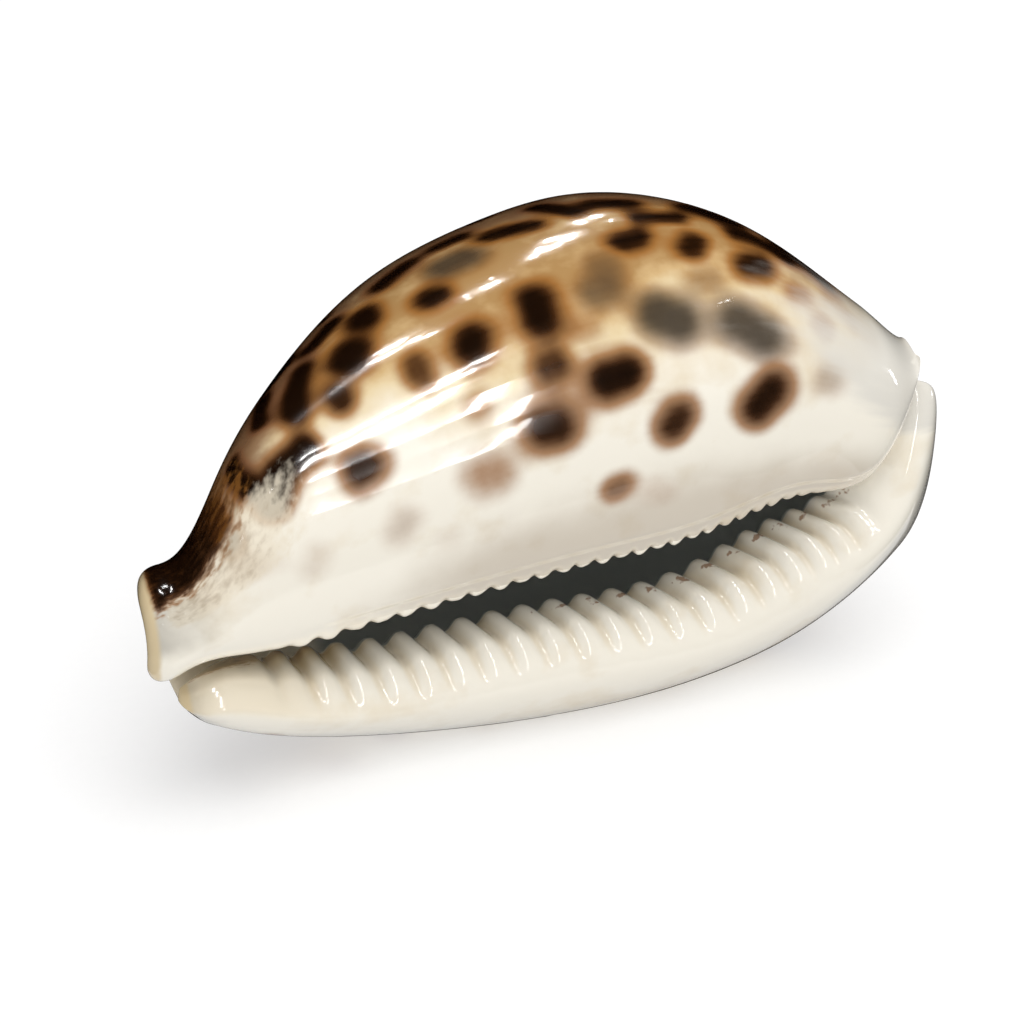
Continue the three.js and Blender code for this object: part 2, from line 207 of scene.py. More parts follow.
# The edges waver: (degrees, mm for each radian, phase), and the back's edge wavers less
EDGE_WAVES = [(4, 5.3, 0), (3, 2.9, 1)]
BACK_WAVE = 0.6
# Milky enamel starts this far from the spout, later higher up, and lower down towards the end
PEARL_FROM, PEARL_BLEND = 56, 22
PEARL_LATER, PEARL_LATER_REACH = 0.45, (-20, 20)
PEARL_REACH, PEARL_REACH_BLEND = -30, 20
PEARL_LOWER, PEARL_LOWER_FROM = 1.8, 70
# The spout's stain starts this many degrees up, and lower at its rim
STAIN_REACH, STAIN_BLEND = -16, 18
STAIN_LOWER, STAIN_LOWER_ALONG = 12, (3.5, 0.5)
TIP_PLACE, TIP_BREADTH = 0.7, 0.8         # where flecks gather on the ridges, in control points
LIP_TINT_INSIDE = (26, 12)                # mm from the spout, inside its canal

# Tints as products of steps: (measure, where it is nothing, where it is full). "along" is mm from
# the spout, "from_rim" mm along the shell from its rim, "reach" degrees up either side of the
# back, and "round" places round the outside in control points.
TINTS = {
    "bark": [("along", 88, 80)],
    "spout_rim": [("from_rim", 1.5, 0.3)],
    "spout_stain": [("from_rim", 0.5, 1.7), ("along", 14, 6)],
    "spout_fibres": [("reach", -34, -22), ("reach", 0, -10), ("along", 21, 9), ("along", 1.5, 3.5)],
    "spout_smoke": [("along", 10, 0), ("reach", -70, -40), ("reach", 2, -12)],
    # Painted shade: the lower columellar flank darkens towards the slot, where it faces down
    "base_tone": [("reach", -38, -72), ("along", 12, 42), ("along", 86, 74)],
    "tooth_valleys": [("round", 4.2, 2.0)],
    "tooth_tips": [("along", 25, 50), ("along", 81, 78)],
    "spout_lip": [("along", 28, 8), ("round", 4.6, 3.0), ("along", 2, 5)],
}
COLUMELLA_ONLY = ("spout_fibres", "base_tone")


def smooth(x):
    """0 below 0, 1 above 1, and eased in between."""
    x = np.clip(x, 0, 1)
    return x * x * (3 - 2 * x)


def step(x, nothing_at, full_at):
    """0 at one value, 1 at the other, eased in between and level beyond them."""
    return smooth((x - nothing_at) / (full_at - nothing_at))


def in_span(x, span):
    """1 inside a span, 0 outside it, and eased in at both ends."""
    start, full, last_full, end = span
    return step(x, start, full) * step(x, end, last_full)


def hump(x):
    """A rounded bump of height 1 that is nothing beyond -1 and 1."""
    return smooth(1 - np.abs(x))


def natural_spline(xs, ys):
    """The natural cubic spline through (xs, ys), as a function of an array."""
    xs, ys = np.array(xs, float), np.array(ys, float)
    last = len(xs) - 1
    gap = np.diff(xs)
    matrix = np.eye(last + 1)
    slope_changes = np.zeros(last + 1)
    for i in range(1, last):
        matrix[i, i - 1:i + 2] = gap[i - 1], 2 * (gap[i - 1] + gap[i]), gap[i]
        slope_changes[i] = (ys[i + 1] - ys[i]) / gap[i] - (ys[i] - ys[i - 1]) / gap[i - 1]
    bend = np.linalg.solve(matrix, 6 * slope_changes)

    def spline(x):
        i = np.clip(np.searchsorted(xs, x) - 1, 0, last - 1)
        a = (xs[i + 1] - x) / gap[i]
        b = 1 - a
        cubic = ((a**3 - a) * bend[i] + (b**3 - b) * bend[i + 1]) * gap[i] ** 2 / 6
        return a * ys[i] + b * ys[i + 1] + cubic

    return spline


def tooth_phase(along):
    """Number of ridges between the first one and this distance from the spout."""
    crowded = CROWDING * np.maximum(0, along - CROWDING_START) ** 2
    return (along - FIRST_TOOTH) / TOOTH_SPACING + crowded


def valley_share(share):
    """How deep between two ridges of the outer lip a station is, from 0 to 1."""
    wave = 0.5 - 0.5 * np.cos(2 * np.pi * tooth_phase(LENGTH * share))
    return in_span(share, TOOTH_SPAN) * wave ** VALLEY_SHARPNESS


def section(share, tooth_height):
    """Control points outside and inside at each station, as (station, point, across and up)."""
    lip, columella, top, base, slot, gap = [
        natural_spline(STATION, profile)(share) for profile in
        (LIP_HALF_WIDTH, COLUMELLA_HALF_WIDTH, BACK_HEIGHT, BASE_LIFT, SLOT_PLACE, SLOT_WIDTH)]
    lip_edge, columella_edge = slot - gap / 2, slot + gap / 2
    grown = np.sin(np.clip(np.minimum(share, 1 - share) / END_REACH, 0, 1) * np.pi / 2)
    scale = END_SCALE + (1 - END_SCALE) * grown
    margin_wall = END_MARGIN_WALL + (MARGIN_WALL - END_MARGIN_WALL) * grown
    base_wall = END_BASE_WALL + (BASE_WALL - END_BASE_WALL) * grown
    waist = base + MARGIN_LEVEL * (top - base)
    low = base + MARGIN_UP * (top - base)
    lip_room = lip_edge + lip - margin_wall
    lip_fold = [lip_edge - f * lip_room for f in LIP_FOLD]
    columella_room = columella - margin_wall - columella_edge
    columella_fold = [columella_edge + f * columella_room for f in COLUMELLA_FOLD]
    outer, inner = [], []

    def add(out, ins):
        outer.append(np.stack(out, -1))
        inner.append(np.stack(ins, -1))

    for (across, up, inside_up), fold in zip(LIP_BY_SLOT, lip_fold):
        add((lip_edge + across * scale, base + up * scale), (fold, base + inside_up * scale))
    across, up = LIP_BASE
    add((lip_edge - across * (lip + lip_edge), base + up),
        (lip_fold[-2], base + base_wall + LIP_BASE_INSIDE * scale))
    add((-LIP_MARGIN * lip, low), (lip_fold[-1], low + MARGIN_FLOOR * base_wall))
    for degrees in BACK_ANGLES:
        cosine, sine = math.cos(math.radians(degrees)), math.sin(math.radians(degrees))
        width = lip if cosine < 0 else columella
        wall = BACK_WALL + (margin_wall - BACK_WALL) * abs(cosine) ** 3
        inside_up = INSIDE_RAISED * (1 - abs(sine)) + (top - BACK_WALL - waist) * BACK_BULGE * sine
        add((width * BACK_BULGE * cosine, waist + (top - waist) * BACK_BULGE * sine),
            ((width - wall) * BACK_BULGE * cosine, waist + inside_up))
    add((COLUMELLA_MARGIN * columella, low), (columella_fold[0], low + MARGIN_FLOOR * base_wall))
    across, up = COLUMELLA_BASE
    add((columella_edge + across * (columella - columella_edge), base + up),
        (columella_fold[1], base + base_wall))
    across, up, inside_up = COLUMELLA_SHOULDER
    add((columella_edge + across * scale, base + up),
        (columella_fold[2], base + base_wall + inside_up * scale))
    for (across, up, inside_up), fold in zip(COLUMELLA_BY_SLOT, columella_fold[3:]):
        add((columella_edge + across * scale, base + up * scale), (fold, base + inside_up * scale))
    outer, inner = np.stack(outer, 1), np.stack(inner, 1)

    # The hollow narrows to a round throat towards each end
    throat_share = SPOUT_THROAT_AMOUNT * step(share, SPOUT_THROAT_FROM, 0)
    throat_share += POSTERIOR_THROAT_AMOUNT * step(share, POSTERIOR_THROAT_FROM, 1)
    angle = np.radians(np.linspace(THROAT_FROM, THROAT_TO, CONTROL_COUNT))
    throat_up = base + THROAT_UP * scale + THROAT_RAISED * THROAT_RADIUS
    throat = np.stack([slot[:, None] + THROAT_RADIUS * np.cos(angle),
                       throat_up[:, None] + THROAT_RADIUS * np.sin(angle)], -1)
    inner += throat_share[:, None, None] * (throat - inner)

    depth = tooth_height * valley_share(share)
    for skin, pushes in ((outer, TOOTH_PUSH), (inner, TOOTH_PUSH_INSIDE)):
        for i, (across, up) in enumerate(pushes):
            skin[:, i, 0] -= across * depth
            skin[:, i, 1] -= up * depth
    return outer, inner


def round_rim(outer, inner, share, rim_share, place):
    """Draws both skins towards the rim line in the wall, as a quarter round does."""
    opened = np.sqrt(1 - (1 - np.clip(share / rim_share, 0, 1)) ** 2)[:, None, None]
    line = inner + place * (outer - inner)
    return line + opened * (outer - line), line + opened * (inner - line)


def control_rings(share, tooth_height):
    """Closed rings of control points (station, point, along and across and up)."""
    outer, inner = section(share, tooth_height)
    outer, inner = round_rim(outer, inner, share, SPOUT_RIM_SHARE, SPOUT_RIM_PLACE)
    outer, inner = round_rim(outer, inner, 1 - share, POSTERIOR_RIM_SHARE, POSTERIOR_RIM_PLACE)
    points = np.arange(CONTROL_COUNT)
    start = np.interp(points, RIM_AT, SPOUT_SETBACK)
    end = LENGTH - np.interp(points, RIM_AT, POSTERIOR_SETBACK)
    along = (start + (end - start) * share[:, None])[..., None]
    outer = np.concatenate([along, outer], -1)
    inner = np.concatenate([along, inner], -1)
    return np.concatenate([outer, inner[:, ::-1]], 1)


def spline_points(rings, places):
    """Points of closed uniform cubic B-splines at places counted in control points."""
    i = np.floor(places).astype(int)
    f = (places - i)[None, :, None]
    weights = [(1 - f) ** 3, 3 * f**3 - 6 * f**2 + 4, -3 * f**3 + 3 * f**2 + 3 * f + 1, f**3]
    return sum(w * rings[:, (i + k - 1) % rings.shape[1]] for k, w in enumerate(weights)) / 6


def mesh_stations():
    """Shares of the length that get a ring of vertices, closer together round both rims."""
    spout = np.linspace(0, np.pi / 2, SPOUT_RIM_STEPS + 1)
    posterior = np.linspace(np.pi / 2, 0, POSTERIOR_RIM_STEPS + 1)
    body_length = 1 - SPOUT_RIM_SHARE - POSTERIOR_RIM_SHARE
    body_steps = round(body_length * LENGTH / BODY_STEP)
    body = SPOUT_RIM_SHARE + body_length * np.arange(1, body_steps) / body_steps
    return np.concatenate([SPOUT_RIM_SHARE * (1 - np.cos(spout)), body,
                           1 - POSTERIOR_RIM_SHARE * (1 - np.cos(posterior))])


def outside_places():
    """Places round the outside, in control points, with both edges of the slot included."""
    spans = [np.linspace(a, b, steps, endpoint=False) for a, b, steps in OUTSIDE_SPANS]
    return np.concatenate([*spans, [OUTSIDE_SPANS[-1][1]]])


def finish_columella(points, places, nub_height, ledge_depth):
    """Sinks the ledge of the columellar lip, raises the fine teeth along its edge, and gives the
    gaps between them, where shade is painted.
    """
    along = points[..., 0]
    x = along - NUB_FIRST
    phase = x / NUB_SPACING + NUB_CROWDING * x * np.abs(x)
    present = in_span(along, NUB_SPAN)
    round_place = places[None, :]
    band = hump((round_place - NUB_AT) / NUB_BREADTH)
    crest = 1 - (0.5 - 0.5 * np.cos(2 * np.pi * phase)) ** NUB_SHARPNESS
    crest *= 1 - NUB_UNEVENNESS + NUB_UNEVENNESS * np.sin(NUB_WAVE * along)
    points[..., 1] -= nub_height * present * band * crest
    ledge = in_span(along, LEDGE_SPAN) * in_span(round_place, LEDGE_PLACES)
    points[..., 1] += LEDGE_SHIFT * ledge_depth * ledge
    points[..., 2] += ledge_depth * ledge
    return present * band * (1 - crest)


def turn_round_back(points, share):
    """Degrees round the back of each point, and how far it is up either side, 90 at the crown."""
    base = natural_spline(STATION, BASE_LIFT)(share)
    top = natural_spline(STATION, BACK_HEIGHT)(share)
    waist = (base + MARGIN_LEVEL * (top - base))[:, None]
    turn = np.degrees(np.arctan2(points[..., 2] - waist, points[..., 1]))
    turn = np.where(turn < -90, turn + 360, turn)
    return turn, np.where(turn < 90, turn, 180 - turn)


class Markings:
    """Spots on the outside, worked out once as strengths from 0 to 1 at the vertices."""

    def __init__(self, points, turn, places):
        self.points, self.turn = points, turn
        self.back = (places > BACK_PLACES[0]) & (places < BACK_PLACES[1])
        flat = points.reshape(-1, 3)
        noise.seed_set(WARP_SEED)
        drift = np.array([noise.noise_vector(Vector(p) / WARP_SIZE) for p in flat])
        self.warped = points + WARP_AMOUNT * drift.reshape(points.shape)

    def place(self, along, turn):
        """The surface point at a distance from the spout and an angle round the back."""
        off = (self.points[..., 0] - along) ** 2 + ((self.turn - turn) / DEGREES_PER_MM) ** 2
        off = np.where(self.back[None, :], off, np.inf)
        return self.points.reshape(-1, 3)[off.argmin()]

    def field(self, spots):
        """The union of these spots, given as (start point, end point, radius, strength, blur)."""
        clear = np.ones(self.points.shape[:2])
        for start, end, radius, strength, blur in spots:
            line = end - start
            reached = (self.warped - start) @ line / max(line @ line, 1e-9)
            nearest = start + np.clip(reached, 0, 1)[..., None] * line
            distance = np.linalg.norm(self.warped - nearest, axis=-1)
            core = radius * (SPOT_FULL[0] + SPOT_FULL[1] * blur)
            halo = radius * (SPOT_FADED[0] + SPOT_FADED[1] * blur)
            clear *= 1 - strength * step(distance, halo, core)
        return 1 - clear

    def by_hand(self, rows):
        """Spots from their table, with their ends found on the surface."""
        return [(self.place(a, t), self.place(to_a, to_t), radius, strength, blur)
                for a, t, to_a, to_t, radius, strength, blur in rows]

    def scattered(self, taken):
        """Seeded spots over the rest of the back, clear of those taken and of each other."""
        rng = np.random.default_rng(SCATTER_SEED)
        along = self.points[..., 0]
        area = self.back[None, :] & (self.turn > SCATTER_TURN[0]) & (self.turn < SCATTER_TURN[1])
        area &= (along > SCATTER_ALONG[0]) & (along < SCATTER_ALONG[1])
        candidates = self.points[area]
        reach = np.where(self.turn < 90, self.turn, 180 - self.turn)[area]
        kept = [(start, radius) for start, _, radius, _, _ in taken]
        made = []
        for pick in rng.integers(0, len(candidates), SCATTER_TRIES):
            radius = rng.uniform(*SCATTER_RADIUS)
            lean = rng.uniform(-1, 1, 3) * radius
            spot = candidates[pick]
            if any(np.linalg.norm(spot - p) < radius + r + SCATTER_GAP for p, r in kept):
                continue
            kept.append((spot, radius))
            clear = float(step(reach[pick], *SCATTER_FADE))
            strength = MARGIN_STRENGTH + (1 - MARGIN_STRENGTH) * clear
            blur = MARGIN_BLUR + (BACK_BLUR - MARGIN_BLUR) * clear
            made.append((spot, spot + lean, radius, strength, blur))
        return made


def shell_fields(points, share, places, valleys, nub_gaps):
    """What colours the outside, as named arrays from 0 to 1 over (station, place)."""
    along = points[..., 0]
    turn, reach = turn_round_back(points, share)
    marks = Markings(points, turn, places)
    brown = marks.by_hand(BROWN_SPOTS)
    grey = marks.by_hand(GREY_SPOTS)
    brown += marks.scattered(brown + grey)
    wave = sum(degrees * np.sin(along / per + phase) for degrees, per, phase in EDGE_WAVES)
    edge = np.interp(along, EDGE_AT, BACK_EDGE)
    bark_edge = np.interp(along, EDGE_AT, BARK_EDGE)
    raised = np.clip(reach, *PEARL_LATER_REACH) - PEARL_LATER_REACH[0]
    pearl_from = PEARL_FROM + PEARL_LATER * raised
    pearl_reach = PEARL_REACH - PEARL_LOWER * np.maximum(0, along - PEARL_LOWER_FROM)
    stain_lower = STAIN_LOWER * step(along, *STAIN_LOWER_ALONG)
    round_place = places[None, :]
    valleys = valleys[:, None]
    fields = {
        "spots": marks.field(brown),
        "grey_spots": marks.field(grey),
        "back": smooth((reach - edge + BACK_WAVE * wave) / BACK_BLEND),
        "bark": smooth((reach - bark_edge + wave) / BARK_BLEND),
        "pearl": (smooth((along - pearl_from) / PEARL_BLEND)
                  * smooth((reach - pearl_reach) / PEARL_REACH_BLEND)),
        "spout_stain": smooth((reach - STAIN_REACH + stain_lower) / STAIN_BLEND),
        "tooth_valleys": valleys,
        "tooth_tips": (1 - valleys) * hump((round_place - TIP_PLACE) / TIP_BREADTH),
        "nub_gaps": nub_gaps,
    }
    measures = {"along": along, "reach": reach, "round": round_place,
                "from_rim": LENGTH * share[:, None]}
    for name, steps in TINTS.items():
        for measure, nothing_at, full_at in steps:
            fields[name] = fields.get(name, 1) * step(measures[measure], nothing_at, full_at)
    for name in COLUMELLA_ONLY:
        fields[name] = fields[name] * (turn < 90)
    return fields, turn


def zip_rows(first_at, second_at):
    """Triangles between two rows of vertices, with corners as (on the second row, number)."""
    faces = []
    i = j = 0
    first_last, second_last = len(first_at) - 1, len(second_at) - 1
    while i < first_last or j < second_last:
        if j == second_last or (i < first_last and first_at[i + 1] <= second_at[j + 1]):
            faces.append(((False, i), (False, i + 1), (True, j)))
            i += 1
        else:
            faces.append(((False, i), (True, j + 1), (True, j)))
            j += 1
    return faces


def quads(ids, uvs):
    """Faces of a grid of vertices, with their corners' places on the map."""
    def corners(grid):
        return np.stack([grid[:-1, :-1], grid[:-1, 1:], grid[1:, 1:], grid[1:, :-1]], 2)

    return corners(ids).reshape(-1, 4).tolist(), corners(uvs).reshape(-1, 2)


def place_in_frame(points):
    """Turns the shell as it lies, wears the flat and fits it to the CAD's box, in metres."""
    along, across, up = points.T
    raised, lowered = math.radians(BACK_RAISED), math.radians(SPOUT_LOWERED)
    y = up * math.cos(raised) - across * math.sin(raised)
    z = up * math.sin(raised) + across * math.cos(raised)
    x = along * math.cos(lowered) - z * math.sin(lowered)
    z = along * math.sin(lowered) + z * math.cos(lowered)
    placed = np.stack([x, y, z], -1)
    low, high = placed.min(0), placed.max(0)
    fit = (SHELL_HIGH.x - SHELL_LOW.x) / (high[0] - low[0])
    top_centre = np.array([(low[0] + high[0]) / 2, (low[1] + high[1]) / 2, high[2]])
    middle = (SHELL_LOW + SHELL_HIGH) / 2
    placed = (placed - top_centre) * fit + np.array([middle.x, middle.y, SHELL_HIGH.z])
    placed[:, 2] = np.maximum(placed[:, 2], SHELL_LOW.z)
    return placed


def shell_faces(share, out_at, inside_shape):
    """Faces between all vertices, outside first, and their corners' places on the map."""
    rows, columns = len(share), len(out_at)
    out_ids = np.arange(rows * columns).reshape(rows, columns)
    in_ids = rows * columns + np.arange(math.prod(inside_shape)).reshape(inside_shape)
    in_ids = np.concatenate([out_ids[1:-1, -1:], in_ids, out_ids[1:-1, :1]], 1)
    out_u = np.linspace(0, OUTSIDE_MAP, columns)
    in_u = np.linspace(INSIDE_MAP, 1, INSIDE_STEPS + 1)
    faces, out_uvs = quads(out_ids, np.stack(np.meshgrid(out_u, share), -1))
    in_faces, in_uvs = quads(in_ids, np.stack(np.meshgrid(in_u, share[1:-1]), -1))
    faces += in_faces
    uvs = [out_uvs, in_uvs]

    # The inside's first and last rings meet the rims of the outside, which have more vertices
    ring_at = np.linspace(0, 1, INSIDE_STEPS + 1)
    rim_at = (out_at[-1] - out_at[::-1]) / (out_at[-1] - out_at[0])
    rim_u = INSIDE_MAP + (1 - INSIDE_MAP) * rim_at
    for end, turned in ((0, False), (-1, True)):
        rim_ids, ring_ids = out_ids[end, ::-1], in_ids[end]
        rim_v, ring_v = share[end], share[1:-1][end]
        for face in zip_rows(rim_at, ring_at):
            corners = face[::-1] if turned else face
            faces.append([int(ring_ids[k] if on_ring else rim_ids[k]) for on_ring, k in corners])
            uvs.append([(in_u[k], ring_v) if on_ring else (rim_u[k], rim_v)
                        for on_ring, k in corners])
    return faces, np.concatenate([np.reshape(part, (-1, 2)) for part in uvs])


def shell_mesh(sizes):
    """The whole shell as one closed mesh with its markings as vertex attributes."""
    share = mesh_stations()
    rings = control_rings(share, sizes.tooth_height)
    out_at = outside_places()
    in_at = np.linspace(CONTROL_COUNT - 0.5, 2 * CONTROL_COUNT - 0.5, INSIDE_STEPS + 1)[1:-1]
    outside = spline_points(rings, out_at)
    inside = spline_points(rings[1:-1], in_at)
    nub_gaps = finish_columella(outside, out_at, sizes.nub_height, sizes.ledge_depth)
    fields, turn = shell_fields(outside, share, out_at, valley_share(share), nub_gaps)

    points = np.concatenate([outside.reshape(-1, 3), inside.reshape(-1, 3)])
    faces, uvs = shell_faces(share, out_at, inside.shape[:2])
    mesh = bpy.data.meshes.new("cowrie_shell")
    mesh.from_pydata(place_in_frame(points).tolist(), [], faces)
    mesh.uv_layers.new(name="OFBake").data.foreach_set("uv", uvs.ravel())
    mesh.polygons.foreach_set("use_smooth", np.ones(len(faces), bool))

    # Inside there is only the hollow's grey, which is painted shade, and the lip's tint in the
    # spout's canal
    edges = np.maximum(step(out_at, *HOLLOW_AT_LIP), step(out_at, *HOLLOW_AT_COLUMELLA))
    fields["hollow"] = in_span(outside[..., 0], HOLLOW_SPAN) * edges
    fields_inside = {"hollow": in_span(inside[..., 0], HOLLOW_SPAN),
                     "spout_lip": step(inside[..., 0], *LIP_TINT_INSIDE)}
    for name, values in fields.items():
        values_inside = fields_inside.get(name, np.zeros(inside.shape[:2]))
        both = [np.broadcast_to(values, turn.shape).ravel(), values_inside.ravel()]
        attribute = mesh.attributes.new(name, "FLOAT", "POINT")
        attribute.data.foreach_set("value", np.concatenate(both).astype(np.float32))
    growth = np.zeros((len(points), 3), np.float32)
    growth[:turn.size, 0] = outside[..., 0].ravel()
    growth[:turn.size, 1] = (np.radians(turn) * GROWTH_RADIUS).ravel()
    attribute = mesh.attributes.new("growth", "FLOAT_VECTOR", "POINT")
    attribute.data.foreach_set("vector", growth.ravel())
    mesh.update()
    return mesh


# ---------------------------------------------
# Finish
# ---------------------------------------------
def linear(hex_colour):
    """An sRGB hex colour as linear red, green, blue and alpha."""
    parts = [int(hex_colour[i:i + 2], 16) / 255 for i in (1, 3, 5)]
    return (*(c / 12.92 if c <= 0.04045 else ((c + 0.055) / 1.055) ** 2.4 for c in parts), 1.0)


def add_node(tree, kind, inputs=(), **settings):
    """Adds a node, sets its own settings, and fills its sockets with values or links."""
    made = tree.nodes.new(kind)
    for name, value in settings.items():
        setattr(made, name, value)
    for socket, value in dict(inputs).items():
        if isinstance(value, bpy.types.NodeSocket):
            tree.links.new(value, made.inputs[socket])
        else:
            made.inputs[socket].default_value = value
    return made


# Sockets of the node that mixes colours, by number because their names repeat
MIX_FACTOR, MIX_A, MIX_B, MIX_RESULT = 0, 6, 7, 2

# The ground by how far up the back: porcelain white at the base, through cream to amber
GROUND = [(0.04, "porcelain"), (0.30, "cream"), (0.62, "straw"), (0.82, "tan"), (1.0, "amber")]
GROUND_NOISE = 0.45

# Layers of colour over the ground, lowest first: attribute, colour, where it starts and is full
# on that attribute, how opaque it gets, and the noise that breaks its edge with its amount
COLOUR_LAYERS = [
    # Painted shade: drab darkens the lower columellar flank towards the slot
    ("base_tone", "drab", 0.05, 0.95, 0.48, "clouds", 0.20),
    ("spots", "halo", 0.05, 0.52, 0.86, "fine", 0.03),
    ("bark", "bark", 0.10, 0.90, 0.72, "clouds", 0.75),
    ("bark", "umber", 0.70, 1.40, 0.30, "clouds", 0.60),
    ("spots", "umber", 0.38, 0.90, 0.94, "fine", 0.03),
    ("spots", "core", 0.74, 1.02, 0.92, "fine", 0.02),
    ("grey_spots", "halo", 0.04, 0.50, 0.45, "fine", 0.03),
    ("grey_spots", "smoke", 0.16, 1.05, 0.95, "fine", 0.03),
    ("pearl", "pearl", 0.10, 1.05, 0.85, "streaks", 0.40),
    ("spout_fibres", "cream", 0.15, 0.70, 0.70, "fibres", 0.5),
    ("spout_fibres", "drab", 0.60, 1.45, 0.42, "fibres", 1.0),
    ("spout_smoke", "smoke", 0.10, 1.1, 0.45, "clouds", 0.5),
    ("spout_stain", "halo", 0.02, 0.45, 0.60, "fibres", 0.8),
    ("spout_stain", "umber", 0.22, 0.70, 0.92, "fibres", 0.55),
    ("spout_stain", "core", 0.55, 1.05, 0.92, "fibres", 0.4),
    ("spout_rim", "straw", 0.15, 0.85, 0.9, "fine", 0.10),
    ("spout_lip", "straw", 0.10, 0.90, 0.38, "clouds", 0.3),
    ("tooth_valleys", "straw", 0.35, 1.0, 0.40, "fine", 0.1),
    ("tooth_tips", "rust", 0.80, 1.10, 0.75, "flecks", 0.8),
    # Painted shade: drab darkens the gaps between the fine teeth
    ("nub_gaps", "drab", 0.30, 1.0, 0.60, "fine", 0.1),
    # Painted shade: the hollow and the slot's edges are greyed, greyer than the shell's pale inside
    ("hollow", "hollow_shade", 0.25, 0.80, 1.0, "fine", 0.05),
]

# Noises as name: (coordinates, scale, stretch, detail). Object coordinates are in metres, and
# growth is in mm along the shell and round it. Clouds are about 6 mm, the fine mottling 1 mm,
# streaks 6 mm along and 2 mm round, and fibres 1 by 1.5 mm. Flecks are 0.7 mm, which is coarser
# than real ones of about 0.3 mm, so that they don't break up when seen small.
NOISES = {
    "clouds": ("Object", 170.0, (1, 1, 1), 4.0),
    "fine": ("Object", 900.0, (1, 1, 1), 3.0),
    "flecks": ("Object", 1500.0, (1, 1, 1), 1.0),
    "streaks": ("growth", 0.45, (0.35, 1, 1), 5.0),
    "fibres": ("growth", 1.5, (0.7, 0.45, 1), 4.0),
}


def material_tree(name):
    """A new material and its empty node tree."""
    material = bpy.data.materials.new(name)
    material.use_nodes = True
    material.node_tree.nodes.clear()
    return material, material.node_tree


def glazed_aragonite(colours):
    """Cowrie enamel: aragonite laid down in thin clear layers and left polished by the mantle.

    The clear top layers give hard, mirror-like highlights over softly blurred pigment.
    """
    material, tree = material_tree("glazed_aragonite")
    place = add_node(tree, "ShaderNodeTexCoord")
    growth = add_node(tree, "ShaderNodeAttribute", attribute_name="growth")
    sources = {"Object": place.outputs["Object"], "growth": growth.outputs["Vector"]}
    noises = {}
    for name, (source, scale, stretch, detail) in NOISES.items():
        stretched = add_node(tree, "ShaderNodeMapping",
                             {"Vector": sources[source], "Scale": stretch})
        pattern = add_node(tree, "ShaderNodeTexNoise", {
            "Vector": stretched.outputs["Vector"],
            "Scale": scale,
            "Detail": detail,
        })
        noises[name] = pattern.outputs["Fac"]

    def attribute(name):
        return add_node(tree, "ShaderNodeAttribute", attribute_name=name).outputs["Fac"]

    def roughened(value, pattern, amount):
        """The value with a noise about zero added, at most that amount either way."""
        shifted = add_node(tree, "ShaderNodeMath", {0: pattern, 1: 0.5}, operation="SUBTRACT")
        return add_node(tree, "ShaderNodeMath", {0: shifted.outputs[0], 1: 2 * amount, 2: value},
                        operation="MULTIPLY_ADD").outputs[0]

    ground = add_node(tree, "ShaderNodeValToRGB",
                      {"Fac": roughened(attribute("back"), noises["clouds"], GROUND_NOISE)})
    ramp = ground.color_ramp
    for _ in GROUND[2:]:
        ramp.elements.new(0.5)
    for element, (position, name) in zip(ramp.elements, GROUND):
        element.position = position
        element.color = getattr(colours, name)
    colour = ground.outputs["Color"]

    for name, paint, low, high, strength, pattern, amount in COLOUR_LAYERS:
        value = attribute(name)
        rough = roughened(value, noises[pattern], amount)
        # Noise only where the attribute itself is there, so that it can't fleck elsewhere
        here = add_node(tree, "ShaderNodeMapRange",
                        {"Value": value, "From Min": 0.01, "From Max": 0.12})
        mask = add_node(tree, "ShaderNodeMapRange",
                        {"Value": rough, "From Min": low, "From Max": high, "To Max": strength},
                        interpolation_type="SMOOTHSTEP")
        factor = add_node(tree, "ShaderNodeMath",
                          {0: mask.outputs["Result"], 1: here.outputs["Result"]},
                          operation="MULTIPLY")
        layer = add_node(tree, "ShaderNodeMix", {
            MIX_FACTOR: factor.outputs[0],
            MIX_A: colour,
            MIX_B: getattr(colours, paint),
        }, data_type="RGBA")
        colour = layer.outputs[MIX_RESULT]

    # The hollow is matt, and everything else is polished
    polish = add_node(tree, "ShaderNodeMapRange",
                      {"Value": attribute("hollow"), "To Min": 0.12, "To Max": 0.75})
    # Growth leaves the glaze very slightly wavy, about a hundredth of a millimetre over 8 mm
    waves = add_node(tree, "ShaderNodeTexNoise",
                     {"Vector": place.outputs["Object"], "Scale": 120.0, "Detail": 2.0})
    relief = add_node(tree, "ShaderNodeBump",
                      {"Height": waves.outputs["Fac"], "Strength": 0.5, "Distance": 0.00012})
    # Aragonite's index is 1.53 to 1.69, and the clear top layers are taken as the coat
    surface = add_node(tree, "ShaderNodeBsdfPrincipled", {
        "Base Color": colour,
        "Roughness": polish.outputs["Result"],
        "IOR": 1.6,
        "Normal": relief.outputs["Normal"],
        "Coat Weight": 0.9,
        "Coat Roughness": 0.03,
        "Coat IOR": 1.5,
        "Coat Normal": relief.outputs["Normal"],
    })
    add_node(tree, "ShaderNodeOutputMaterial", {"Surface": surface.outputs["BSDF"]})
    return material


